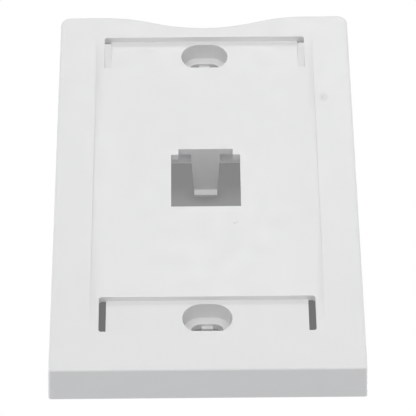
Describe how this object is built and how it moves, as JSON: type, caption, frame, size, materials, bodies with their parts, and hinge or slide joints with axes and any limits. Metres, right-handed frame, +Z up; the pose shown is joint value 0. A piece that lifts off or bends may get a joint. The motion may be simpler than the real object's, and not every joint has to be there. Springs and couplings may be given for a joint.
{
  "type": "wall plate",
  "caption": "Moulded plastic wall plate with a dished front panel, a jack opening with a snap finger, label pockets and screw recesses, hollow behind.",
  "frame": {"origin": "centre of the screw pattern, on the plane of the back rim that lies against the wall", "axes": "+X to the right seen from the front, +Z up the wall, -Y out of the wall towards the room"},
  "size_m": [0.0698, 0.0161, 0.1164],
  "materials": {
    "white_plastic": "satin moulded white plastic"
  },
  "bodies": {
    "root": {"wall_plate": "white_plastic"}
  },
  "joints": []
}
